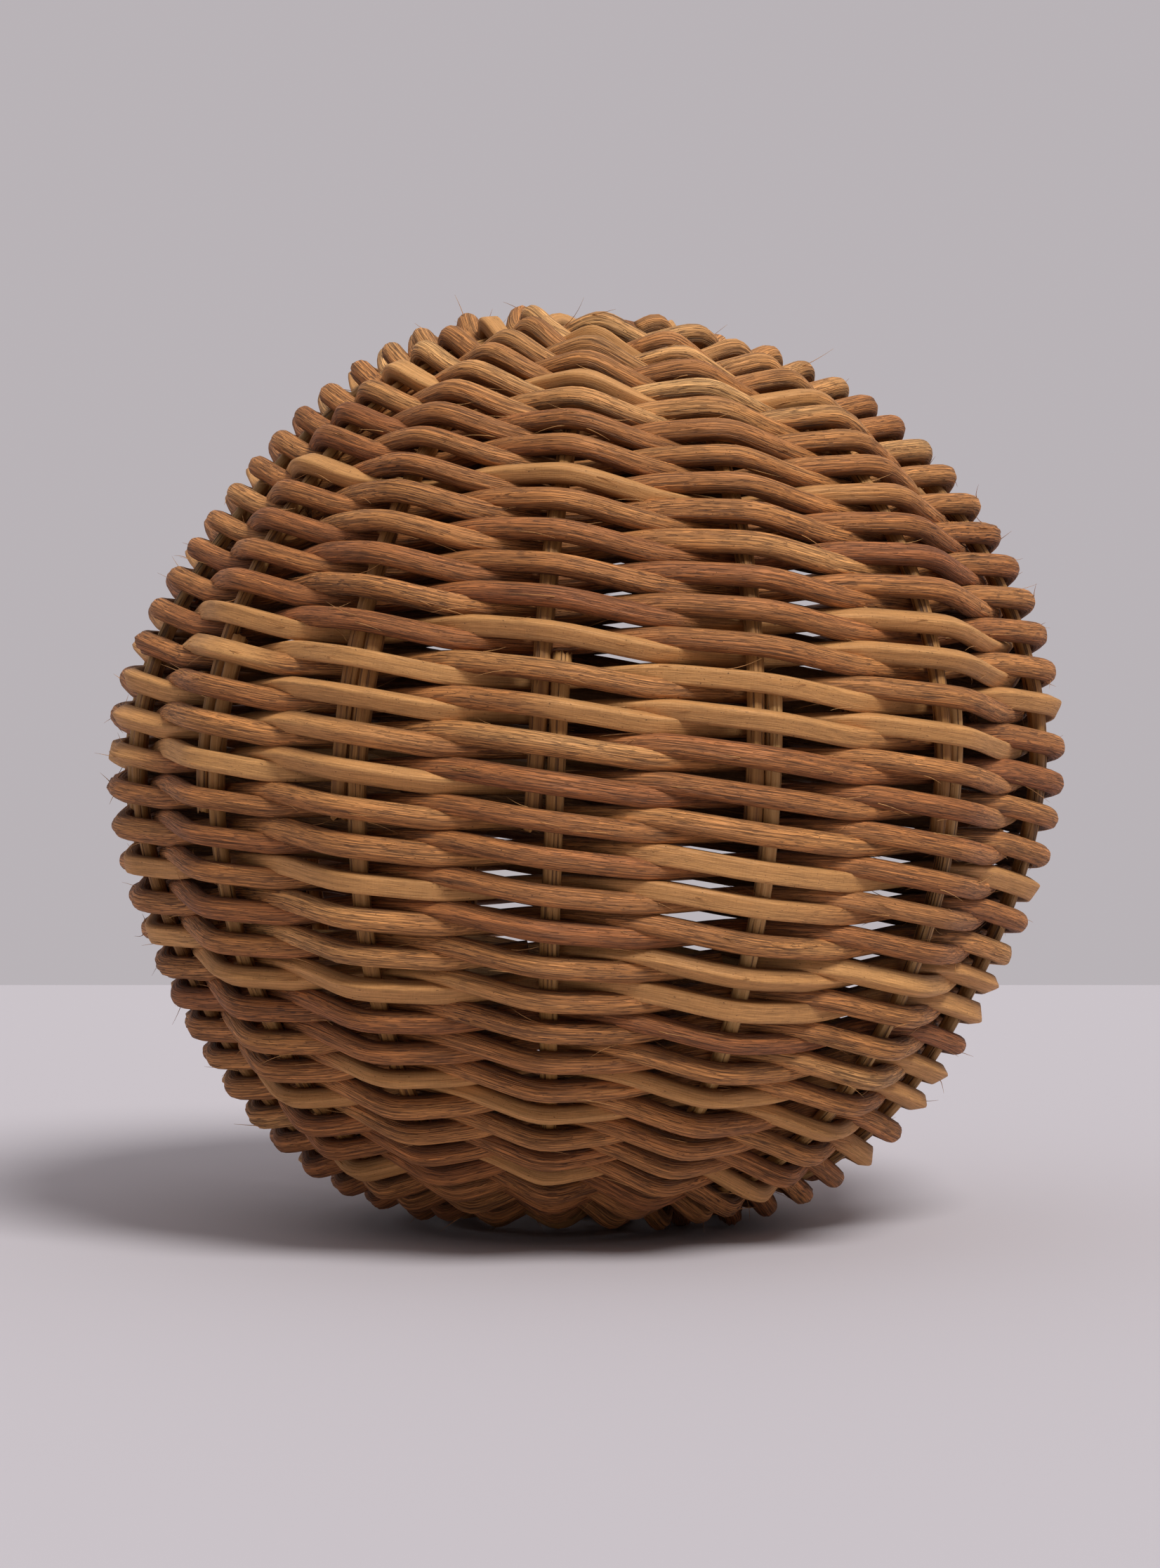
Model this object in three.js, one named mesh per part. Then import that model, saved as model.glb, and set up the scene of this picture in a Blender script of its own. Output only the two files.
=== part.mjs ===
// A hollow ball of woven cane, lying on a small flat spot.
// Two sets of stakes run up from the bottom and down from the top and overlap round the middle.
// Two canes, twisted round each other between the stakes, wind from the top to the bottom.
// Millimetres, +Z up, origin on the floor under the middle of the ball, front towards -Y.

import * as THREE from 'three';

// The ball
const OUTER_RADIUS = 98.5; // from the middle to the outside of the canes, before the lumps
const CENTRE_HEIGHT = 93; // of the ball's middle over the floor
const LEAN_DEG = 3; // of the top of the weave's own axis towards +X
const TILT_DEG = 4.5; // and towards +Y
const FLAT_BLEND = 1.2; // height over which the flat spot runs out into the round
const LUMPS = [
  { lobes: 2, cos: 0.9, sin: 0.7 },
  { lobes: 4, cos: 0.0, sin: 0.8 },
  { lobes: 5, cos: -0.5, sin: 1.1 },
  { lobes: 6, cos: 1.0, sin: -0.4 },
]; // how far the outline swells and dips, in millimetres, with that many lobes round it

// The stakes
const STAKE_COUNT = 14;
const FIRST_STAKE_DEG = -5;
const STAKE_DRIFT_DEG = 9.8; // the stakes crowd together on the left and spread on the right
const STAKE_WIDTH = 3.5;
const STAKE_DEPTH = 3.0;
const STAKE_TIP = 0.5; // share of the width and depth that is left at the ends by the poles
const STAKE_PAIR_DEG = 1.25; // an upper and a lower stake lie this far each side of their place
const TAPER_FROM_DEG = 40;
const STAKE_STEPS = 8;
const UPPER_STAKE_FOOT_DEG = -6.5;
const LOWER_STAKE_HEAD_DEG = 14;
const LOWER_STAKE_UNEVEN_DEG = 2.5; // their heads rise and fall this much, in so many waves round
const UNEVEN_WAVES = 3;
const LONG_STAKE_END_DEG = 87.6;
const SHORT_STAKE_PAST_DEG = 2.2; // past the last row round it

// The canes
const CANE_WIDTH = 3.3; // along a stake
const CANE_OUTSIDE = 1.7; // from the cane's centreline to its flat outer side
const CANE_INSIDE = 2.1; // from the centreline to its inner edge
const IN_FRONT = 5; // centreline outside the middle of the stakes, where it passes in front
const BEHIND = 5.1; // and inside it, where it passes behind
const ROW_PITCH_DEG = 4.4;
const OPEN_PITCH_DEG = 6.6; // by the poles
const OPEN_FROM_DEG = 68.4;
const LONG_STAKES_FROM_DEG = 75; // nearer the poles the canes pass every second stake only
const FIRST_ROW_DEG = 83.5;
const FRONT_HALF = 0.25; // half of a front pass, as a share of the way to the next stake
const SLANT_DEG = 1.65; // how far each end of a front pass lies above and below its row
const TUCK = 0.03; // the gap at a join, hidden behind a stake, as a share of the way to the next
const CANES_PER_STRAND = 10;

const MIDDLE_RADIUS = OUTER_RADIUS - IN_FRONT - CANE_OUTSIDE;
const FLAT_HEIGHT = IN_FRONT + CANE_OUTSIDE; // of the stakes' middles over the floor
const X_AXIS = new THREE.Vector3(1, 0, 0);
const Y_AXIS = new THREE.Vector3(0, 1, 0);
const rad = THREE.MathUtils.degToRad;

// The surface that runs through the middles of the stakes.

function lumpAt(direction) {
  const reach = Math.hypot(direction.x, direction.z);
  const angle = Math.atan2(direction.z, direction.x);
  let sum = 0;
  for (const { lobes, cos, sin } of LUMPS) {
    const wave = cos * Math.cos(lobes * angle) + sin * Math.sin(lobes * angle);
    sum += reach ** lobes * wave;
  }
  return sum;
}

function flattened(height) {
  const above = height - FLAT_HEIGHT;
  if (above > FLAT_BLEND) return height;
  if (above < -FLAT_BLEND) return FLAT_HEIGHT;
  return FLAT_HEIGHT + (above + FLAT_BLEND) ** 2 / (4 * FLAT_BLEND);
}

function middleAt(latDeg, lonDeg) {
  const lat = rad(latDeg);
  const lon = rad(lonDeg);
  const level = Math.cos(lat);
  const point = new THREE.Vector3(level * Math.sin(lon), -level * Math.cos(lon), Math.sin(lat));
  point.applyAxisAngle(Y_AXIS, rad(LEAN_DEG));
  point.multiplyScalar(MIDDLE_RADIUS + lumpAt(point));
  point.applyAxisAngle(X_AXIS, rad(-TILT_DEG));
  point.z = flattened(point.z + CENTRE_HEIGHT);
  return point;
}

function outwardAt(latDeg, lonDeg) {
  const step = 0.1;
  const east = middleAt(latDeg, lonDeg + step).sub(middleAt(latDeg, lonDeg - step));
  const north = middleAt(latDeg + step, lonDeg).sub(middleAt(latDeg - step, lonDeg));
  return east.cross(north).normalize();
}

function pointAt(latDeg, lonDeg, offset) {
  const outward = outwardAt(latDeg, lonDeg);
  const position = middleAt(latDeg, lonDeg).addScaledVector(outward, offset);
  return { position, outward };
}

// A closed bar along a path. sectionAt gives the section at each point, as [to the side, outward]
// pairs, anticlockwise as seen looking along the path.

function barGeometry(path, sectionAt) {
  const corners = [];
  path.forEach(({ position, outward }, i) => {
    const before = path[Math.max(i - 1, 0)].position;
    const after = path[Math.min(i + 1, path.length - 1)].position;
    const side = after.clone().sub(before).cross(outward).normalize();
    for (const [across, out] of sectionAt(i)) {
      const corner = position.clone().addScaledVector(side, across).addScaledVector(outward, out);
      corners.push(corner.x, corner.y, corner.z);
    }
  });
  const sides = sectionAt(0).length;
  const faces = [];
  for (let ring = 0; ring < path.length - 1; ring += 1) {
    for (let side = 0; side < sides; side += 1) {
      const next = (side + 1) % sides;
      const [a, b] = [ring * sides + side, ring * sides + next];
      faces.push(a, a + sides, b, b, a + sides, b + sides);
    }
  }
  const last = (path.length - 1) * sides;
  for (let side = 1; side < sides - 1; side += 1) {
    faces.push(0, side, side + 1);
    faces.push(last, last + side + 1, last + side);
  }
  const geometry = new THREE.BufferGeometry();
  geometry.setAttribute('position', new THREE.Float32BufferAttribute(corners, 3));
  geometry.setIndex(faces);
  geometry.computeVertexNormals();
  return geometry;
}

// Stakes

function stakeLongitude(stake) {
  const even = (stake * 360) / STAKE_COUNT;
  const drift = STAKE_DRIFT_DEG * (1 - Math.cos(rad(even - FIRST_STAKE_DEG)));
  return FIRST_STAKE_DEG + even + drift;
}

function stakeGeometry(stake, half) {
  const rows = passes.filter((pass) => pass.stake === stake).map((pass) => Math.abs(pass.lat));
  const isLong = stake % 2 === 0;
  const lastRow = half === 'upper' ? rows[0] : rows[rows.length - 1];
  const pole = isLong ? LONG_STAKE_END_DEG : lastRow + SHORT_STAKE_PAST_DEG;
  const wave = Math.sin(UNEVEN_WAVES * rad(stakeLongitude(stake)));
  const head = half === 'upper' ? pole : LOWER_STAKE_HEAD_DEG - LOWER_STAKE_UNEVEN_DEG * wave;
  const foot = half === 'upper' ? UPPER_STAKE_FOOT_DEG : -pole;
  const beside = half === 'upper' ? -STAKE_PAIR_DEG : STAKE_PAIR_DEG;
  const path = [];
  const shares = [];
  for (let step = 0; step <= STAKE_STEPS; step += 1) {
    const lat = foot + ((head - foot) * step) / STAKE_STEPS;
    const polar = THREE.MathUtils.smoothstep(Math.abs(lat), TAPER_FROM_DEG, LONG_STAKES_FROM_DEG);
    path.push(pointAt(lat, stakeLongitude(stake) + beside * (1 - polar), 0));
    shares.push(1 - (1 - STAKE_TIP) * polar);
  }
  const sectionAt = (i) => {
    const across = (STAKE_WIDTH / 2) * shares[i];
    const out = (STAKE_DEPTH / 2) * shares[i];
    return [[-across, -out], [across, -out], [across, out], [-across, out]];
  };
  return barGeometry(path, sectionAt);
}

// Canes

function stakePasses() {
  const passes = [];
  let stake = 0;
  let lat = FIRST_ROW_DEG;
  while (lat > -FIRST_ROW_DEG) {
    const polar = Math.abs(lat);
    passes.push({ stake: stake % STAKE_COUNT, lat, lon: stakeLongitude(stake) });
    const step = polar > LONG_STAKES_FROM_DEG && stake % 2 === 0 ? 2 : 1;
    const pitch = polar > OPEN_FROM_DEG ? OPEN_PITCH_DEG : ROW_PITCH_DEG;
    lat -= (pitch * step) / STAKE_COUNT;
    stake += step;
  }
  return passes;
}

function between(from, to, share) {
  return {
    lat: from.lat + (to.lat - from.lat) * share,
    lon: from.lon + (to.lon - from.lon) * share,
  };
}

// One strand of the pair, as the canes that it is made of: it passes in front of every second
// stake, slanting down to the right, and behind the others, where one cane ends and the next starts.

function strandPaths(passes, firstInFront) {
  const paths = [[]];
  const girth = (pass) => Math.cos(rad(pass.lat));
  const whole = passes.reduce((sum, pass) => sum + girth(pass), 0);
  let run = 0;
  for (let n = 1; n < passes.length - 1; n += 1) {
    const [last, here, next] = [passes[n - 1], passes[n], passes[n + 1]];
    const path = paths[paths.length - 1];
    run += girth(here);
    if (n % 2 === firstInFront) {
      const start = between(here, last, FRONT_HALF);
      const end = between(here, next, FRONT_HALF);
      path.push(pointAt(start.lat + SLANT_DEG, start.lon, IN_FRONT));
      path.push(pointAt(end.lat - SLANT_DEG, end.lon, IN_FRONT));
    } else if (run > (whole * paths.length) / CANES_PER_STRAND) {
      const end = between(here, last, TUCK);
      const start = between(here, next, TUCK);
      path.push(pointAt(end.lat, end.lon, -BEHIND));
      paths.push([pointAt(start.lat, start.lon, -BEHIND)]);
    } else {
      path.push(pointAt(here.lat, here.lon, -BEHIND));
    }
  }
  return paths;
}

function caneGeometry(path) {
  const half = CANE_WIDTH / 2;
  const section = [[0, -CANE_INSIDE], [half, CANE_OUTSIDE], [-half, CANE_OUTSIDE]];
  return barGeometry(path, () => section);
}

// The ball

const stakeMaterial = new THREE.MeshStandardMaterial({ color: 0xb98c56, roughness: 0.75 });
const caneMaterial = new THREE.MeshStandardMaterial({ color: 0x94633c, roughness: 0.7 });
const ball = new THREE.Group();

function addPiece(name, geometry, material) {
  const piece = new THREE.Mesh(geometry, material);
  piece.name = name;
  ball.add(piece);
}

const numbered = (name, index) => `${name}_${String(index + 1).padStart(2, '0')}`;

const passes = stakePasses();
for (const half of ['upper', 'lower']) {
  for (let stake = 0; stake < STAKE_COUNT; stake += 1) {
    addPiece(numbered(`${half}_stake`, stake), stakeGeometry(stake, half), stakeMaterial);
  }
}

['a', 'b'].forEach((strand, firstInFront) => {
  strandPaths(passes, firstInFront).forEach((path, index) => {
    addPiece(numbered(`cane_${strand}`, index), caneGeometry(path), caneMaterial);
  });
});

export default ball;
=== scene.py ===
"""A hollow ball woven of round rattan cane, lying on a pale floor. Metres, +Z up, front towards -Y.

A round, grooved cane or a fibrous stake replaces each of the CAD's plain bars. The CAD's surface and
rows are worked out again here from the same sizes, so every piece lies where its node does.
"""

import math

import bpy
import numpy as np
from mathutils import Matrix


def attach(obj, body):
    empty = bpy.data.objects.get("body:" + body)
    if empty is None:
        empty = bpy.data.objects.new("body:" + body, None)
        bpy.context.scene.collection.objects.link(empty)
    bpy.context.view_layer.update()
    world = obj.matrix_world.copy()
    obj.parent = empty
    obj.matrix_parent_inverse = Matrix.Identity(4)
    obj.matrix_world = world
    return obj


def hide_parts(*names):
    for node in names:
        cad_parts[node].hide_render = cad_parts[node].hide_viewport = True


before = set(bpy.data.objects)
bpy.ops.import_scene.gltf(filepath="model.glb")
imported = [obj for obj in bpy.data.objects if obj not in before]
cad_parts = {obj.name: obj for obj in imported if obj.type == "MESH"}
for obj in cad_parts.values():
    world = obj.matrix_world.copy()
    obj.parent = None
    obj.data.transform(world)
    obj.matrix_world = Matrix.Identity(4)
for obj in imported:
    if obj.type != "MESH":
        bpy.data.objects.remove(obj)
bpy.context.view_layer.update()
MM = 0.001

# The ball, as in the CAD
OUTER_RADIUS = 98.5 * MM
CENTRE_HEIGHT = 93 * MM
LEAN_DEG = 3  # of the top of the weave's own axis towards +X
TILT_DEG = 4.5  # and towards +Y
FLAT_BLEND = 1.2 * MM
LUMPS = ((2, 0.9, 0.7), (4, 0.0, 0.8), (5, -0.5, 1.1), (6, 1.0, -0.4))  # lobes, cos and sin in mm
STAKE_COUNT = 14
FIRST_STAKE_DEG = -5
STAKE_DRIFT_DEG = 9.8
STAKE_PAIR_DEG = 1.25
UPPER_STAKE_FOOT_DEG = -6.5
LOWER_STAKE_HEAD_DEG = 14
LOWER_STAKE_UNEVEN_DEG = 2.5
UNEVEN_WAVES = 3
LONG_STAKE_END_DEG = 87.6
SHORT_STAKE_PAST_DEG = 2.2
CAD_IN_FRONT = 5 * MM
CAD_OUTSIDE = 1.7 * MM
ROW_PITCH_DEG = 4.4
OPEN_PITCH_DEG = 6.6
OPEN_FROM_DEG = 68.4
LONG_STAKES_FROM_DEG = 75
FIRST_ROW_DEG = 83.5
CANES_PER_STRAND = 10
MIDDLE_RADIUS = OUTER_RADIUS - CAD_IN_FRONT - CAD_OUTSIDE
FLAT_HEIGHT = CAD_IN_FRONT + CAD_OUTSIDE

# The round canes
CANE_RADIUS = 2.27 * MM  # a little over the real one, so that the rows close up
RIDE = 1.5 * MM  # the weave's middle lies this far outside the CAD's, so that round canes reach as far
RIDE_AT_FLOOR = 0.5 * MM
RIDE_FROM = 16 * MM  # height under which the one turns into the other
REACH = 4.4 * MM  # of a cane's centreline from there, in front of a stake or behind it, before rounding
SWING = 1.75 * MM  # of a cane up and down where the two strands cross between stakes
ARC_SHARE = 0.4  # how far a cane bows out from the straight between two stakes towards the sphere
RINGS_PER_STAKE = 14
CANE_SIDES = 28
BEND_KERNEL = (1, 2, 3, 2, 1)  # rounds the bends at the stakes
ROW_UNEVEN = 0.44 * MM  # how far both strands wander up and down together, before smoothing
ROW_KERNEL = (1, 2, 1)
CANE_UNEVEN = 0.12 * MM  # and each by itself
JOIN_GAP_RINGS = 1  # between one cane and the next, behind a stake
END_STAKES = 0.75  # the strands start and end this far, in stakes, inside the first and last pass
FLOOR_CLEARANCE = 0.02 * MM

# How a cane changes along its length: ..._RINGS is how many rings lie between one random value and
# the next, and sizes are shares of the cane's radius
ROLL = 0.9  # radians that it turns either way about its own line
ROLL_RINGS = 130
FLAT_RINGS = 75
FLAT_BIAS = (-0.35, 0.25)  # makes a whole cane rounder or flatter
FLAT_RANGE = (0.3, 0.42)  # random values between which it goes from round to flat
WORN_RINGS = 40
WORN_RANGE = (0.45, 0.8)
GIRTH_RINGS = 60
GIRTH_UNEVEN = 0.07
FLAT_SWELL = 0.03
OVAL_RINGS = 90
OVAL = 0.05
RIB_RINGS = 45
RIB_SHARE = 0.7
SHORT_RIB_RINGS = 9
FRAY_RINGS = 3
FRAY_SHARE = 0.5
RIB_DEPTH = 0.05
WORN_DEPTH = 0.1  # added to it where the cane is worn
FLAT_SMOOTHNESS = 0.8  # share of it that is gone where the cane is flat
RINGS_PER_KNUCKLE = 300
KNUCKLE_REACH = 0.8  # rings
KNUCKLE_SWELL = 0.09
TONE_RINGS = 40
TONE_UNEVEN = 0.22
GRAIN_SHIFT = 50  # metres at most by which a piece's grain is moved along, so that no two are alike

# The loose fibres that stand off the canes
FIBRES_PER_METRE = 75
FIBRE_RINGS = 6
FIBRE_SIDES = 3
FIBRE_RADIUS = 0.11 * MM
FIBRE_LENGTH = (2.5 * MM, 9 * MM)
FIBRE_LIFT = (0.03, 0.4)  # height of the tip over the cane, as a share of the length
FIBRE_BOW = 0.2  # how far the tip bends sideways, as a share of the length
FIBRE_THINNING = 0.8
FIBRE_TONES = (0.4, 1.1)

# The stakes
STAKE_HALF_WIDTH = 1.85 * MM
STAKE_HALF_DEPTH = 1.6 * MM
STAKE_TIP = 0.6  # share of the width and depth that is left by the poles
TAPER_FROM_DEG = 40
STAKE_SIDES = 18
STAKE_RING_SPACING = 2.2 * MM
STAKE_WANDER = 0.25 * MM
STAKE_WANDER_RINGS = 9
STAKE_RIB_RINGS = 12
STAKE_RIB_DEPTH = 0.09
STAKE_TORN_ENDS = (-0.2 * MM, 0.9 * MM)
STAKE_TONES = (0.3, 0.8)

SEED = 29


# The surface through the middles of the stakes


def turned(points, axis, degrees):
    """Rows of points, turned about the x (0) or y (1) axis."""
    a = math.radians(degrees)
    c, s = math.cos(a), math.sin(a)
    turn = {
        0: np.array([[1, 0, 0], [0, c, -s], [0, s, c]]),
        1: np.array([[c, 0, s], [0, 1, 0], [-s, 0, c]]),
    }[axis]
    return points @ turn.T


def lump_at(direction):
    """How far the outline swells or dips in each direction."""
    reach = np.hypot(direction[:, 0], direction[:, 2])
    angle = np.arctan2(direction[:, 2], direction[:, 0])
    waves = (
        reach**lobes * (cos * np.cos(lobes * angle) + sin * np.sin(lobes * angle))
        for lobes, cos, sin in LUMPS
    )
    return sum(waves) * MM


def flattened(height):
    """Heights held up at the flat spot, with a short blend into the round."""
    above = np.clip(height - FLAT_HEIGHT, -FLAT_BLEND, FLAT_BLEND)
    blended = FLAT_HEIGHT + (above + FLAT_BLEND) ** 2 / (4 * FLAT_BLEND)
    return np.where(height - FLAT_HEIGHT > FLAT_BLEND, height, blended)


def middle_at(lat_deg, lon_deg):
    """Points on the surface through the middles of the CAD's stakes."""
    lat, lon = np.radians(lat_deg), np.radians(lon_deg)
    level = np.cos(lat)
    points = np.stack([level * np.sin(lon), -level * np.cos(lon), np.sin(lat)], 1)
    points = turned(points, 1, LEAN_DEG)
    points *= (MIDDLE_RADIUS + lump_at(points))[:, None]
    points = turned(points, 0, -TILT_DEG)
    points[:, 2] = flattened(points[:, 2] + CENTRE_HEIGHT)
    return points


def unit(vectors):
    return vectors / np.linalg.norm(vectors, axis=1, keepdims=True)


def ride_at(middles):
    """How far outside these points of the CAD's surface the weave's middle lies."""
    share = smoothstep(middles[:, 2], FLAT_HEIGHT, RIDE_FROM)
    return RIDE_AT_FLOOR + (RIDE - RIDE_AT_FLOOR) * share


def directions_at(lat_deg, lon_deg):
    """Outward and northward directions on the surface."""
    step = 0.1
    east = middle_at(lat_deg, lon_deg + step) - middle_at(lat_deg, lon_deg - step)
    north = middle_at(lat_deg + step, lon_deg) - middle_at(lat_deg - step, lon_deg)
    return unit(np.cross(east, north)), unit(north)


# The rows, as in the CAD


def stake_longitude(stake):
    even = stake * 360 / STAKE_COUNT
    drift = STAKE_DRIFT_DEG * (1 - np.cos(np.radians(even - FIRST_STAKE_DEG)))
    return FIRST_STAKE_DEG + even + drift


def stake_passes():
    """Stake number, latitude and longitude of each place where the pair of strands meets a stake."""
    passes = []
    stake = 0
    lat = FIRST_ROW_DEG
    while lat > -FIRST_ROW_DEG:
        passes.append((stake % STAKE_COUNT, lat, stake_longitude(stake)))
        step = 2 if abs(lat) > LONG_STAKES_FROM_DEG and stake % 2 == 0 else 1
        pitch = OPEN_PITCH_DEG if abs(lat) > OPEN_FROM_DEG else ROW_PITCH_DEG
        lat -= pitch * step / STAKE_COUNT
        stake += step
    return np.array(passes)


def cane_joints(lats, first_in_front):
    """Pass numbers at which one cane of a strand ends behind a stake and the next starts."""
    girth = np.cos(np.radians(lats))
    run = np.cumsum(girth) - girth[0]
    joints = []
    for n in range(1, len(lats) - 1):
        share = girth.sum() * (len(joints) + 1) / CANES_PER_STRAND
        if n % 2 != first_in_front and run[n] > share:
            joints.append(n)
    return joints


# Random values that run smoothly along a path


def wander(rng, count, spacing, columns=1):
    """Smooth random values about -1..1 for count rings, with a new value every spacing rings."""
    knots = rng.uniform(-1, 1, (int(count / spacing) + 3, columns))
    at = np.arange(count) / spacing
    low = at.astype(int)
    share = (at - low)[:, None]
    share = share * share * (3 - 2 * share)
    return knots[low] * (1 - share) + knots[low + 1] * share


def smoothed(values, kernel):
    """Rows averaged with their neighbours."""
    weights = np.array(kernel, float) / sum(kernel)
    edge = len(kernel) // 2
    padded = np.concatenate([values[:1]] * edge + [values] + [values[-1:]] * edge)
    return sum(w * padded[i : i + len(values)] for i, w in enumerate(weights))


def smoothstep(values, low, high):
    share = np.clip((values - low) / (high - low), 0, 1)
    return share * share * (3 - 2 * share)


# Strands


def triangle(turns):
    """A wave that is 1 at whole turns and -1 half way between them, straight in between."""
    return 4 * np.abs(turns - np.floor(turns) - 0.5) - 1


class Strand:
    """One of the two strands, from the top of the ball to the bottom, ring by ring."""

    def __init__(self, passes, first_in_front, row_shift, rng):
        lats, lons = passes[:, 1], passes[:, 2]
        count = len(passes)
        at = np.arange((count - 1) * RINGS_PER_STAKE + 1) / RINGS_PER_STAKE
        lat = np.interp(at, np.arange(count), lats)
        lon = np.interp(at, np.arange(count), lons)
        stations = middle_at(lats, lons)
        straight = np.stack([np.interp(at, np.arange(count), axis) for axis in stations.T], 1)
        centre = straight + ARC_SHARE * (middle_at(lat, lon) - straight)
        outward, north = directions_at(lat, lon)
        half_turns = (at - first_in_front) / 2
        own_shift = wander(rng, len(at), RINGS_PER_STAKE)[:, 0] * CANE_UNEVEN
        shift = np.interp(at, np.arange(count), row_shift) + own_shift
        depth = ride_at(centre) + REACH * triangle(half_turns)
        height = SWING * triangle(half_turns + 0.25) + shift
        centre = centre + depth[:, None] * outward + height[:, None] * north
        self.centre = smoothed(centre, BEND_KERNEL)
        self.outward = outward
        self.joints = cane_joints(lats, first_in_front)
        inset = int(END_STAKES * RINGS_PER_STAKE)
        self.ends = (inset, len(at) - 1 - inset)

    def cane_rings(self):
        """The slices of rings that each cane has."""
        cuts = [joint * RINGS_PER_STAKE for joint in self.joints]
        starts = [self.ends[0]] + [cut + JOIN_GAP_RINGS for cut in cuts]
        stops = cuts + [self.ends[1]]
        return [slice(a, b) for a, b in zip(starts, stops)]


# Tubes


def tube_frames(centre, outward):
    """Sideways and outward unit vectors square to the path, ring by ring."""
    along = unit(np.gradient(centre, axis=0))
    out = unit(outward - (outward * along).sum(1, keepdims=True) * along)
    return np.cross(along, out), out


def tube_vertices(centre, outward, angles, radii):
    """Vertices of a tube: angles and radii are rings by sides, angle 0 points outward."""
    side, out = tube_frames(centre, outward)
    offset = (radii * np.cos(angles))[:, :, None] * out[:, None, :]
    offset = offset + (radii * np.sin(angles))[:, :, None] * side[:, None, :]
    return centre[:, None, :] + offset


def columns_of(sides):
    """The angles of a ring's vertices."""
    return np.arange(sides) * 2 * math.pi / sides


def grain_of(along, sides, radius):
    """Each vertex's place in the cane's own grain: along it, and round it twice."""
    grain = np.zeros((len(along), sides, 3))
    grain[:, :, 0] = along[:, None]
    grain[:, :, 1] = radius * np.cos(columns_of(sides))
    grain[:, :, 2] = radius * np.sin(columns_of(sides))
    return grain.reshape(-1, 3)


def tube_faces(rings, sides, first=0):
    """Faces of a closed tube whose vertices start at first."""
    ring, side = np.meshgrid(np.arange(rings - 1), np.arange(sides), indexing="ij")
    after = (side + 1) % sides
    quads = [ring * sides + side, ring * sides + after]
    quads += [(ring + 1) * sides + after, (ring + 1) * sides + side]
    faces = (np.stack(quads, 2).reshape(-1, 4) + first).tolist()
    last = first + (rings - 1) * sides
    faces.append(list(range(first + sides - 1, first - 1, -1)))
    faces.append(list(range(last, last + sides)))
    return faces


def add_mesh(name, vertices, faces, material, attributes):
    mesh = bpy.data.meshes.new(name)
    mesh.from_pydata(vertices.tolist(), [], faces)
    mesh.shade_smooth()
    mesh.materials.append(material)
    for label, values in attributes.items():
        vector = values.ndim == 2
        layer = mesh.attributes.new(label, "FLOAT_VECTOR" if vector else "FLOAT", "POINT")
        layer.data.foreach_set("vector" if vector else "value", values.astype(np.float32).ravel())
    piece = bpy.data.objects.new(name, mesh)
    bpy.context.scene.collection.objects.link(piece)
    return piece


# Canes

# How golden each cane is, from 0, reddish, to 1, pale; from the top of each strand to the bottom
CANE_TONES = {
    "a": (0.78, 0.56, 0.42, 0.46, 0.56, 0.46, 0.52, 0.56, 0.50, 0.50),
    "b": (0.70, 0.62, 0.46, 0.52, 0.40, 0.52, 0.58, 0.46, 0.52, 0.42),
}
FLAT_FACES = ((0, 0.66), (math.pi / 2, 0.88), (-math.pi / 2, 0.88))  # angle and share of the radius
FACING_LEAST = 0.05  # sides that face a flat less than this aren't cut by it
REACH_MOST = 1.4  # radii, further than any vertex lies


def flattened_sides(radii, girth, flat, columns):
    """Radii cut down to the flat faces, by how flat the cane is at each ring."""
    for angle, share in FLAT_FACES:
        facing = np.cos(columns - angle)
        reach = np.where(facing > FACING_LEAST, share / np.maximum(facing, FACING_LEAST), REACH_MOST)
        limit = girth[:, None] * np.minimum(reach, REACH_MOST)
        radii = radii - flat[:, None] * np.maximum(radii - limit, 0)
    return radii


def cane_section(rng, rings):
    """Angles and radii of a cane's rings, and what its material needs to know of each vertex."""
    columns = columns_of(CANE_SIDES)
    roll = wander(rng, rings, ROLL_RINGS)[:, 0] * ROLL
    flat = smoothstep(wander(rng, rings, FLAT_RINGS)[:, 0] + rng.uniform(*FLAT_BIAS), *FLAT_RANGE)
    worn = smoothstep(wander(rng, rings, WORN_RINGS)[:, 0], *WORN_RANGE) * (1 - flat)
    uneven = GIRTH_UNEVEN * wander(rng, rings, GIRTH_RINGS)[:, 0]
    girth = CANE_RADIUS * (1 + uneven + FLAT_SWELL * flat)
    oval = OVAL * wander(rng, rings, OVAL_RINGS)
    ribs = RIB_SHARE * wander(rng, rings, RIB_RINGS, CANE_SIDES)
    ribs = ribs + (1 - RIB_SHARE) * wander(rng, rings, SHORT_RIB_RINGS, CANE_SIDES)
    fray = wander(rng, rings, FRAY_RINGS, CANE_SIDES)
    radii = girth[:, None] * (1 + oval * np.cos(2 * columns))
    radii = flattened_sides(radii, girth, flat, columns)
    depth = (RIB_DEPTH + WORN_DEPTH * worn[:, None]) * (1 - FLAT_SMOOTHNESS * flat[:, None])
    radii = radii * (1 + depth * ribs + FRAY_SHARE * depth * worn[:, None] * fray)
    for knuckle in rng.uniform(0, rings, max(1, rings // RINGS_PER_KNUCKLE)):
        ring = np.exp(-(((np.arange(rings) - knuckle) / KNUCKLE_REACH) ** 2))
        radii = radii * (1 + KNUCKLE_SWELL * ring[:, None])
    return roll[:, None] + columns, radii, flat, worn, ribs


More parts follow.
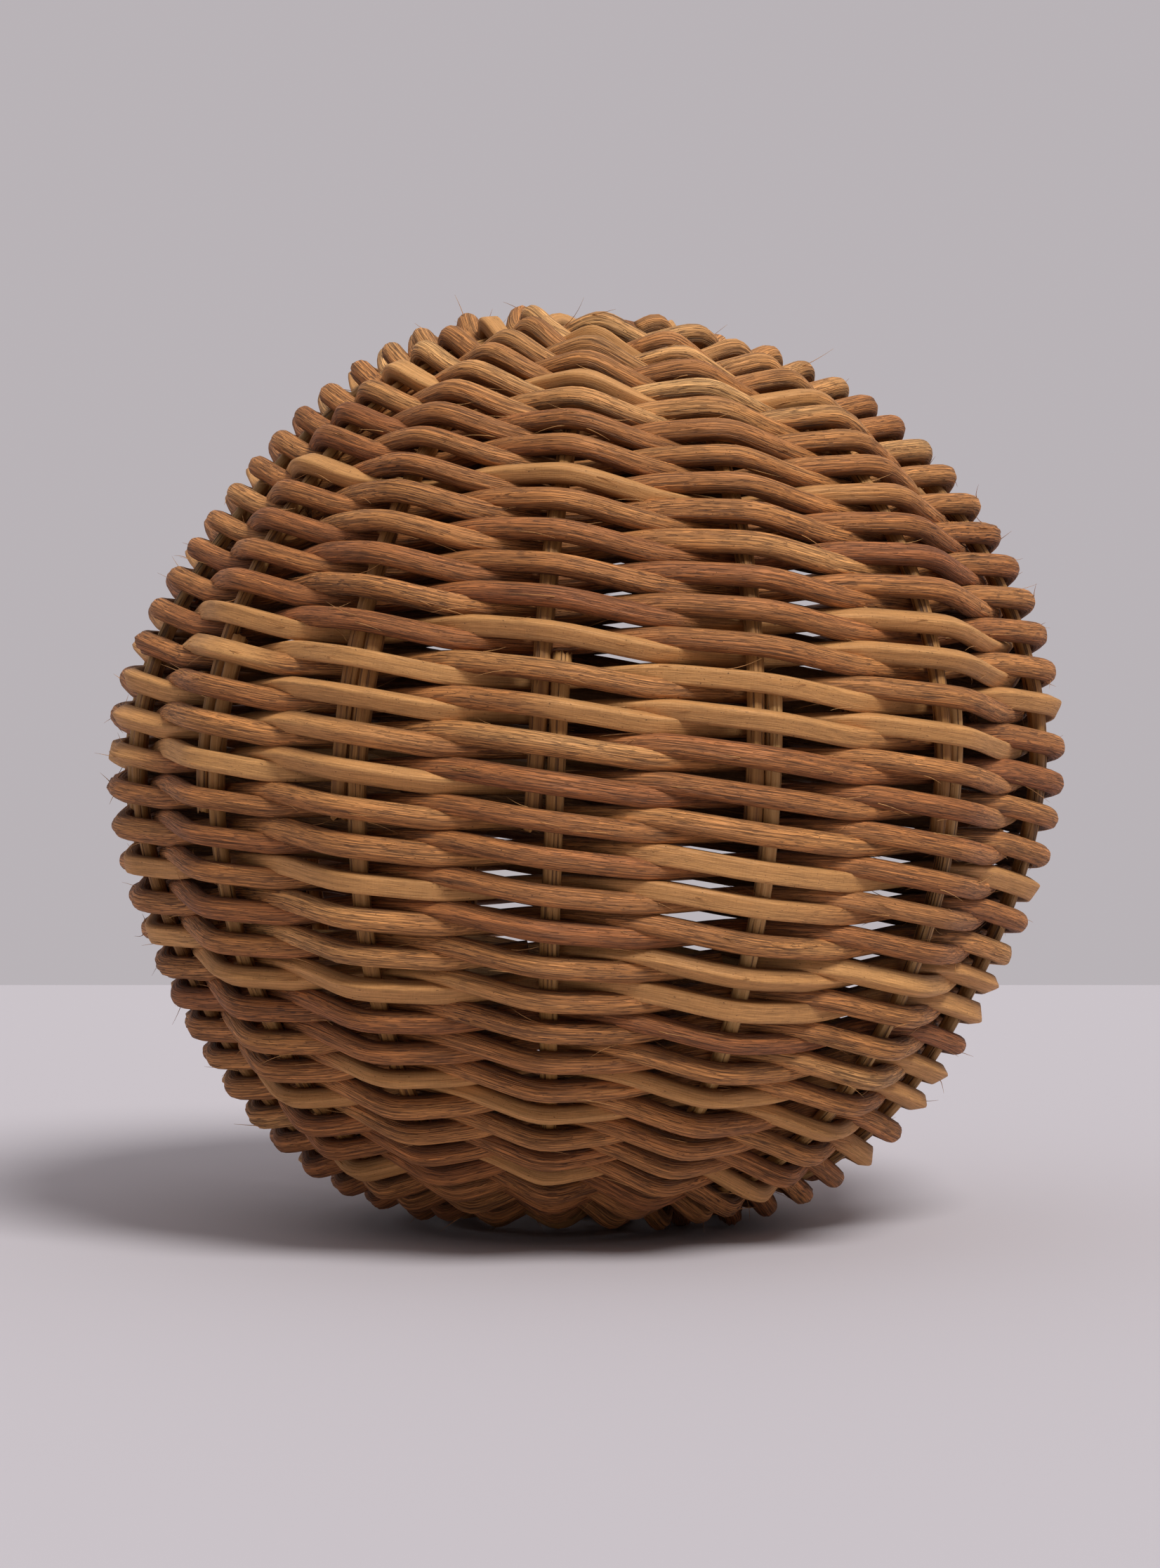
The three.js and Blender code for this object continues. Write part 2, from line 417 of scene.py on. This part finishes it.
def fibre_vertices(vertices, count, rng):
    """Thin tapering tubes that start on a cane's surface and lift off it along the grain."""
    ring = rng.integers(2, len(vertices) - 2, count)
    side = rng.integers(0, CANE_SIDES, count)
    root = vertices[ring, side]
    away = unit(root - vertices.mean(1)[ring])
    along = unit(vertices[ring + 1, side] - vertices[ring - 1, side])
    along = along * rng.choice((-1, 1), (count, 1))
    across = np.cross(along, away)
    length = rng.uniform(*FIBRE_LENGTH, (count, 1, 1))
    lift = rng.uniform(*FIBRE_LIFT, (count, 1, 1))
    bow = rng.uniform(-FIBRE_BOW, FIBRE_BOW, (count, 1, 1))
    step = np.linspace(0, 1, FIBRE_RINGS)[None, :, None]
    path = step * along[:, None] + lift * step**1.5 * away[:, None] + bow * step**2 * across[:, None]
    path = root[:, None] + length * path
    angle = columns_of(FIBRE_SIDES)[:, None]
    rim = np.cos(angle) * away[:, None] + np.sin(angle) * across[:, None]
    radius = FIBRE_RADIUS * (1 - FIBRE_THINNING * step)[..., None]
    return (path[:, :, None] + radius * rim[:, None]).reshape(-1, 3)


def add_cane(letter, index, strand, rings, rng, material):
    centre, outward = strand.centre[rings], strand.outward[rings]
    count = len(centre)
    angles, radii, flat, worn, ribs = cane_section(rng, count)
    vertices = tube_vertices(centre, outward, angles, radii)
    steps = np.linalg.norm(np.diff(centre, axis=0), axis=1)
    along = np.concatenate([[0], np.cumsum(steps)]) + rng.uniform(0, GRAIN_SHIFT)
    tone = CANE_TONES[letter][index] + TONE_UNEVEN * wander(rng, count, TONE_RINGS)[:, 0]
    fibres = int(FIBRES_PER_METRE * (along[-1] - along[0]))
    strays = fibre_vertices(vertices, fibres, rng)
    stray_tone = np.repeat(rng.uniform(*FIBRE_TONES, fibres), FIBRE_RINGS * FIBRE_SIDES)
    zeros, ones = np.zeros(len(strays)), np.ones(len(strays))
    attributes = {
        "grain": np.concatenate([grain_of(along, CANE_SIDES, CANE_RADIUS), strays]),
        "tone": np.concatenate([np.repeat(tone, CANE_SIDES), stray_tone]),
        "flat": np.concatenate([np.repeat(flat, CANE_SIDES), ones]),
        "worn": np.concatenate([np.repeat(worn, CANE_SIDES), zeros]),
        "rib": np.concatenate([ribs.ravel(), zeros]),
        # facing feeds the painted shade on the side of a cane that faces into the ball; the fibres get
        # none
        "facing": np.concatenate([np.cos(angles).ravel(), ones]),
    }
    faces = tube_faces(count, CANE_SIDES)
    for fibre in range(fibres):
        first = count * CANE_SIDES + fibre * FIBRE_RINGS * FIBRE_SIDES
        faces += tube_faces(FIBRE_RINGS, FIBRE_SIDES, first)
    vertices = np.concatenate([vertices.reshape(-1, 3), strays])
    vertices[:, 2] = np.maximum(vertices[:, 2], FLOOR_CLEARANCE)
    node = f"cane_{letter}_{index + 1:02d}"
    piece = add_mesh("woven_" + node, vertices, faces, material, attributes)
    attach(piece, "root")
    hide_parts(node)


# Stakes


def stake_ends(stake, passes, half):
    """The latitudes of a stake's foot and head."""
    rows = np.abs(passes[passes[:, 0] == stake, 1])
    last_row = rows[0] if half == "upper" else rows[-1]
    pole = LONG_STAKE_END_DEG if stake % 2 == 0 else last_row + SHORT_STAKE_PAST_DEG
    if half == "upper":
        return UPPER_STAKE_FOOT_DEG, pole
    wave = math.sin(UNEVEN_WAVES * math.radians(stake_longitude(stake)))
    return -pole, LOWER_STAKE_HEAD_DEG - LOWER_STAKE_UNEVEN_DEG * wave


def add_stake(half, stake, passes, rng, material):
    foot, head = stake_ends(stake, passes, half)
    rings = int((head - foot) * math.radians(1) * MIDDLE_RADIUS / STAKE_RING_SPACING)
    lat = np.linspace(foot, head, rings)
    polar = smoothstep(np.abs(lat), TAPER_FROM_DEG, LONG_STAKES_FROM_DEG)
    beside = STAKE_PAIR_DEG * (1 - polar) * (-1 if half == "upper" else 1)
    lon = stake_longitude(stake) + beside
    outward, north = directions_at(lat, lon)
    east = np.cross(north, outward)
    centre = middle_at(lat, lon)
    centre = centre + ride_at(centre)[:, None] * outward
    centre = centre + STAKE_WANDER * wander(rng, rings, STAKE_WANDER_RINGS) * east
    columns = columns_of(STAKE_SIDES)
    share = (1 - (1 - STAKE_TIP) * polar)[:, None]
    ribs = wander(rng, rings, STAKE_RIB_RINGS, STAKE_SIDES)
    radii = STAKE_HALF_WIDTH * STAKE_HALF_DEPTH * share
    radii = radii / np.hypot(STAKE_HALF_WIDTH * np.cos(columns), STAKE_HALF_DEPTH * np.sin(columns))
    radii = radii * (1 + STAKE_RIB_DEPTH * ribs)
    angles = np.zeros((rings, 1)) + columns
    vertices = tube_vertices(centre, outward, angles, radii)
    for ring, way in ((0, -1), (-1, 1)):
        torn = rng.uniform(*STAKE_TORN_ENDS, STAKE_SIDES)
        vertices[ring] += way * torn[:, None] * north[ring]
    along = np.arange(rings) * STAKE_RING_SPACING + rng.uniform(0, GRAIN_SHIFT)
    attributes = {
        "grain": grain_of(along, STAKE_SIDES, STAKE_HALF_WIDTH),
        "tone": np.full(rings * STAKE_SIDES, rng.uniform(*STAKE_TONES)),
        "rib": ribs.ravel(),
    }
    faces = tube_faces(rings, STAKE_SIDES)
    node = f"{half}_stake_{stake + 1:02d}"
    piece = add_mesh("fibrous_" + node, vertices.reshape(-1, 3), faces, material, attributes)
    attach(piece, "root")
    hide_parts(node)


# Materials


def new_material(name):
    material = bpy.data.materials.new(name)
    material.use_nodes = True
    return material, material.node_tree, material.node_tree.nodes["Principled BSDF"]


def join(tree, value, socket):
    """Links an output to an input, or sets the input to a plain value."""
    if isinstance(value, bpy.types.NodeSocket):
        tree.links.new(value, socket)
    else:
        socket.default_value = value


def attribute(tree, name, output="Fac"):
    made = tree.nodes.new("ShaderNodeAttribute")
    made.attribute_name = name
    return made.outputs[output]


def sums(tree, operation, first, second=0.0, third=0.0):
    made = tree.nodes.new("ShaderNodeMath")
    made.operation = operation
    for socket, value in zip(made.inputs, (first, second, third)):
        join(tree, value, socket)
    return made.outputs[0]


def scaled(tree, vector, scale):
    made = tree.nodes.new("ShaderNodeVectorMath")
    made.operation = "MULTIPLY"
    join(tree, vector, made.inputs[0])
    made.inputs[1].default_value = scale
    return made.outputs[0]


def noise(tree, vector, scale, detail=2.0, roughness=0.5):
    made = tree.nodes.new("ShaderNodeTexNoise")
    join(tree, scaled(tree, vector, scale), made.inputs["Vector"])
    made.inputs["Scale"].default_value = 1.0
    made.inputs["Detail"].default_value = detail
    made.inputs["Roughness"].default_value = roughness
    return made.outputs["Fac"]


def spread(tree, value, low, high, to_low=0.0, to_high=1.0):
    """Maps low..high to to_low..to_high, smoothly, and no further."""
    made = tree.nodes.new("ShaderNodeMapRange")
    made.interpolation_type = "SMOOTHSTEP"
    for socket, number in zip(made.inputs[:5], (value, low, high, to_low, to_high)):
        join(tree, number, socket)
    return made.outputs[0]


def mix(tree, share, first, second, blend="MIX"):
    made = tree.nodes.new("ShaderNodeMix")
    made.data_type = "RGBA"
    made.blend_type = blend
    join(tree, share, made.inputs[0])
    join(tree, first, made.inputs[6])
    join(tree, second, made.inputs[7])
    return made.outputs[2]


def ramp(tree, value, stops):
    made = tree.nodes.new("ShaderNodeValToRGB")
    elements = made.color_ramp.elements
    while len(elements) < len(stops):
        elements.new(0.5)
    for element, (place, colour) in zip(elements, stops):
        element.position = place
        element.color = colour
    join(tree, value, made.inputs[0])
    return made.outputs[0]


def bump(tree, height, distance):
    made = tree.nodes.new("ShaderNodeBump")
    made.inputs["Strength"].default_value = 1.0
    made.inputs["Distance"].default_value = distance
    join(tree, height, made.inputs["Height"])
    return made.outputs[0]


REDDISH = (0.31, 0.095, 0.030, 1)
BROWN = (0.41, 0.145, 0.038, 1)
TAN = (0.55, 0.230, 0.065, 1)
PALE = (0.74, 0.39, 0.14, 1)
INNER_BARK = (0.60, 0.29, 0.09, 1)
# The real dark colour of the vessels and specks, also used as painted shade in the grooves of canes and
# stakes
DARK_MARKS_AND_GROOVE_SHADE = (0.085, 0.028, 0.009, 1)
STAKE_DARK = (0.24, 0.090, 0.020, 1)
STAKE_GOLD = (0.52, 0.245, 0.065, 1)
STAKE_PALE = (0.74, 0.43, 0.16, 1)

# Noise cells in a metre, along the grain and twice across it
STREAKS = (95, 2400, 2400)
HAIRLINES = (260, 6200, 6200)
GROOVES = (26, 1500, 1500)
FINE_GROOVES = (40, 2900, 2900)
VESSELS = (330, 3600, 3600)
SPECKS = (1500, 2600, 2600)
CROSS_LINES = (3300, 400, 400)
PATCHES = (14, 160, 160)
STAKE_STREAKS = (40, 1700, 1700)
STAKE_GROOVES = (60, 1500, 1500)

# How strongly each pattern shows
PATCH_CONTRAST = 0.9
STREAK_CONTRAST = 3.4
HAIRLINE_CONTRAST = 2.0
RIB_CONTRAST = 0.25
LEAST_LIGHT = 0.25
INWARD_PAINTED_SHADE = 0.45  # painted shade: what is left of the colour on the side of a cane that faces into the ball
INWARD_PAINTED_SHADE_RANGE = (-0.5, 0.75)
BARK_SHARE = 0.8
FLAT_PLAINNESS = 0.75
GROOVE_WIDTH = 0.045
FINE_GROOVE_WIDTH = 0.05
# How dark the painted shade in the grooves is, which also sets how deep they are
GROOVE_SHARE = 0.8
FINE_GROOVE_SHARE = 0.6
DARK_SHARE = 0.6
WORN_DARK_SHARE = 0.25
SPECK_SHARE = 0.6
CANE_RELIEF = 0.3 * MM
STAKE_STREAK_CONTRAST = 1.2
STAKE_RIB_CONTRAST = 0.2
STAKE_GROOVE_SHADE_SHARE = 0.7
STAKE_RELIEF = 0.3 * MM


def threads(tree, grain, scale, width):
    """1 on thin lines that wander along the grain, 0 between them."""
    off_middle = sums(tree, "ABSOLUTE", sums(tree, "SUBTRACT", noise(tree, grain, scale, 0.0), 0.5))
    return spread(tree, off_middle, 0.0, width, 1.0, 0.0)


def cane_colour(tree, grain, flat, cross):
    """Reddish to golden in slow patches, with the inner bark's colour where the cane is flat."""
    patches = noise(tree, grain, PATCHES, 2.0)
    tone = sums(tree, "MULTIPLY_ADD", patches, PATCH_CONTRAST, -PATCH_CONTRAST / 2)
    tone = sums(tree, "ADD", attribute(tree, "tone"), tone)
    colour = ramp(tree, tone, ((0.0, REDDISH), (0.35, BROWN), (0.7, TAN), (1.0, PALE)))
    bark = mix(tree, spread(tree, cross, 0.3, 0.7, 0.0, 0.25), INNER_BARK, PALE)
    return mix(tree, sums(tree, "MULTIPLY", flat, BARK_SHARE), colour, bark)


def cane_grain_and_painted_shade(tree, streak, hairline, round_only):
    """A grey that lightens and darkens the colour along the grain, and paints shade on the side that
    faces into the ball.
    """
    light = sums(tree, "MULTIPLY", streak, STREAK_CONTRAST)
    light = sums(tree, "ADD", light, sums(tree, "MULTIPLY", hairline, HAIRLINE_CONTRAST))
    light = sums(tree, "SUBTRACT", light, (STREAK_CONTRAST + HAIRLINE_CONTRAST) / 2)
    light = sums(tree, "MULTIPLY_ADD", attribute(tree, "rib"), RIB_CONTRAST, light)
    light = sums(tree, "MULTIPLY", light, sums(tree, "MULTIPLY_ADD", round_only, 0.6, 0.2))
    light = sums(tree, "MAXIMUM", sums(tree, "ADD", light, 1.0), LEAST_LIGHT)
    # Painted shade: the colour is darker on the side of a cane that faces into the ball
    painted_inward_shade = spread(tree, attribute(tree, "facing"), *INWARD_PAINTED_SHADE_RANGE, INWARD_PAINTED_SHADE, 1.0)
    light = sums(tree, "MULTIPLY", light, painted_inward_shade)
    grey = tree.nodes.new("ShaderNodeCombineColor")
    for socket in grey.inputs:
        join(tree, light, socket)
    return grey.outputs[0]


def cane_darks(tree, grain, round_only):
    """How dark the vessels and specks are, and the painted shade in the grooves."""
    vessel = spread(tree, noise(tree, grain, VESSELS, 1.0), 0.60, 0.68)
    speck = spread(tree, noise(tree, grain, SPECKS, 1.0), 0.72, 0.78)
    groove = threads(tree, grain, GROOVES, GROOVE_WIDTH)
    fine_groove = threads(tree, grain, FINE_GROOVES, FINE_GROOVE_WIDTH)
    groove = sums(tree, "MAXIMUM", groove, sums(tree, "MULTIPLY", fine_groove, FINE_GROOVE_SHARE))
    dark = sums(tree, "MAXIMUM", vessel, sums(tree, "MULTIPLY", groove, GROOVE_SHARE))
    dark = sums(tree, "MULTIPLY", dark, round_only)
    share = sums(tree, "MULTIPLY_ADD", attribute(tree, "worn"), WORN_DARK_SHARE, DARK_SHARE)
    dark = sums(tree, "MULTIPLY", dark, share)
    return sums(tree, "MAXIMUM", dark, sums(tree, "MULTIPLY", speck, SPECK_SHARE))


def cane_material():
    """Rattan core: fine grooves with painted shade in them and dark vessels along it, reddish to
    golden, pale where it is flat, and painted shade on the side that faces into the ball.
    """
    material, tree, shader = new_material("rattan_cane")
    grain = attribute(tree, "grain", "Vector")
    flat = attribute(tree, "flat")
    streak = noise(tree, grain, STREAKS, 3.0, 0.65)
    hairline = noise(tree, grain, HAIRLINES, 1.0)
    cross = noise(tree, grain, CROSS_LINES, 1.0)
    round_only = sums(tree, "SUBTRACT", 1.0, sums(tree, "MULTIPLY", flat, FLAT_PLAINNESS))
    light = cane_grain_and_painted_shade(tree, streak, hairline, round_only)
    colour = mix(tree, 1.0, cane_colour(tree, grain, flat, cross), light, "MULTIPLY")
    dark = cane_darks(tree, grain, round_only)
    # Over the colour go the real dark vessels and specks, and painted shade in the grooves
    join(tree, mix(tree, dark, colour, DARK_MARKS_AND_GROOVE_SHADE), shader.inputs["Base Color"])
    join(tree, spread(tree, streak, 0.3, 0.7, 0.78, 0.6), shader.inputs["Roughness"])
    height = sums(tree, "MULTIPLY_ADD", hairline, 0.35, streak)
    height = sums(tree, "SUBTRACT", sums(tree, "MULTIPLY", height, round_only), dark)
    height = sums(tree, "MULTIPLY_ADD", cross, 0.08, height)
    join(tree, bump(tree, height, CANE_RELIEF), shader.inputs["Normal"])
    return material


def stake_material():
    """The stakes' split, fibrous cane: golden, with open grooves darkened by painted shade."""
    material, tree, shader = new_material("rattan_stake")
    grain = attribute(tree, "grain", "Vector")
    streak = noise(tree, grain, STAKE_STREAKS, 3.0, 0.65)
    groove = spread(tree, noise(tree, grain, STAKE_GROOVES, 1.0), 0.56, 0.68)
    tone = sums(tree, "MULTIPLY_ADD", streak, STAKE_STREAK_CONTRAST, -STAKE_STREAK_CONTRAST / 2)
    tone = sums(tree, "ADD", tone, attribute(tree, "tone"))
    tone = sums(tree, "MULTIPLY_ADD", attribute(tree, "rib"), STAKE_RIB_CONTRAST, tone)
    colour = ramp(tree, tone, ((0.0, STAKE_DARK), (0.5, STAKE_GOLD), (1.0, STAKE_PALE)))
    # Painted shade in the stake's grooves
    colour = mix(tree, sums(tree, "MULTIPLY", groove, STAKE_GROOVE_SHADE_SHARE), colour, DARK_MARKS_AND_GROOVE_SHADE)
    join(tree, colour, shader.inputs["Base Color"])
    shader.inputs["Roughness"].default_value = 0.62
    height = sums(tree, "SUBTRACT", streak, groove)
    join(tree, bump(tree, height, STAKE_RELIEF), shader.inputs["Normal"])
    return material


# Floor, light and camera

VIEW_ELEVATION_DEG = 4.5
VIEW_DISTANCE = 1.57
IMAGE_HEIGHT = 2233
FOCAL_PIXELS = 10700  # the lens's focal length in pixels of a 1652 x 2233 image
AIM_LEFT = 1.2 * MM  # the picture's middle lies this far left of the ball's middle
AIM_BELOW = 1.4 * MM
FLOOR_BACK = 0.467  # the floor ends here, and the plain backdrop shows behind it
FLOOR_HALF = 4.0
KEY_AZIMUTH_DEG = 35  # to the right of the camera
KEY_ELEVATION_DEG = 56
KEY_STRENGTH = 2.5
KEY_ANGLE_DEG = 22
FILL_TOP = (0.55, 0.53, 0.55, 1)  # the studio's light from overhead and from the wall behind
FILL_FRONT = (0.05, 0.045, 0.045, 1)  # and from the dark room on the camera's side
FILL_FROM = (0, 0.45, 0.89)  # up and back
FILL_RANGE = (-0.35, 0.8)
BACKDROP = (0.485, 0.452, 0.475, 1)
FLOOR_COLOUR = (0.53, 0.495, 0.52, 1)


def add_floor():
    half = FLOOR_HALF
    corners = ((-half, -half, 0), (half, -half, 0), (half, FLOOR_BACK, 0), (-half, FLOOR_BACK, 0))
    mesh = bpy.data.meshes.new("floor")
    mesh.from_pydata(corners, [], [(0, 1, 2, 3)])
    material, _, shader = new_material("pale_floor")
    shader.inputs["Base Color"].default_value = FLOOR_COLOUR
    shader.inputs["Roughness"].default_value = 0.85
    mesh.materials.append(material)
    floor = bpy.data.objects.new("floor", mesh)
    bpy.context.scene.collection.objects.link(floor)


def add_light():
    """A broad sun as the key light, and a soft fill that the plain backdrop stands in front of."""
    lamp = bpy.data.lights.new("key", "SUN")
    lamp.energy = KEY_STRENGTH
    lamp.angle = math.radians(KEY_ANGLE_DEG)
    key = bpy.data.objects.new("key", lamp)
    tip = math.radians(90 - KEY_ELEVATION_DEG)
    key.rotation_euler = (tip, 0, math.radians(KEY_AZIMUTH_DEG))
    bpy.context.scene.collection.objects.link(key)
    world = bpy.data.worlds.new("studio")
    world.use_nodes = True
    bpy.context.scene.world = world
    tree = world.node_tree
    background = tree.nodes["Background"]
    seen = tree.nodes.new("ShaderNodeLightPath").outputs["Is Camera Ray"]
    towards = tree.nodes.new("ShaderNodeVectorMath")
    towards.operation = "DOT_PRODUCT"
    join(tree, tree.nodes.new("ShaderNodeTexCoord").outputs["Generated"], towards.inputs[0])
    towards.inputs[1].default_value = FILL_FROM
    share = spread(tree, towards.outputs["Value"], *FILL_RANGE)
    fill = mix(tree, share, FILL_FRONT, FILL_TOP)
    join(tree, mix(tree, seen, fill, BACKDROP), background.inputs["Color"])


def add_camera():
    tilt = math.radians(VIEW_ELEVATION_DEG)
    lens = bpy.data.cameras.new("camera")
    lens.sensor_width = 36
    lens.lens = lens.sensor_width * FOCAL_PIXELS / IMAGE_HEIGHT
    camera = bpy.data.objects.new("camera", lens)
    back = np.array([0, -math.cos(tilt), math.sin(tilt)])
    up = np.array([0, math.sin(tilt), math.cos(tilt)])
    aim = np.array([-AIM_LEFT, 0, CENTRE_HEIGHT]) - AIM_BELOW * up
    camera.location = aim + VIEW_DISTANCE * back
    camera.rotation_euler = (math.pi / 2 - tilt, 0, 0)
    bpy.context.scene.collection.objects.link(camera)
    bpy.context.scene.camera = camera


def build():
    rng = np.random.default_rng(SEED)
    passes = stake_passes()
    cane, stake = cane_material(), stake_material()
    row_shift = ROW_UNEVEN * smoothed(rng.uniform(-1, 1, (len(passes), 1)), ROW_KERNEL)[:, 0]
    for first_in_front, letter in enumerate("ab"):
        strand = Strand(passes, first_in_front, row_shift, rng)
        for index, rings in enumerate(strand.cane_rings()):
            add_cane(letter, index, strand, rings, rng, cane)
    for half in ("upper", "lower"):
        for index in range(STAKE_COUNT):
            add_stake(half, index, passes, rng, stake)


build()
add_floor()
add_light()
add_camera()
bpy.context.scene.view_settings.view_transform = "Standard"
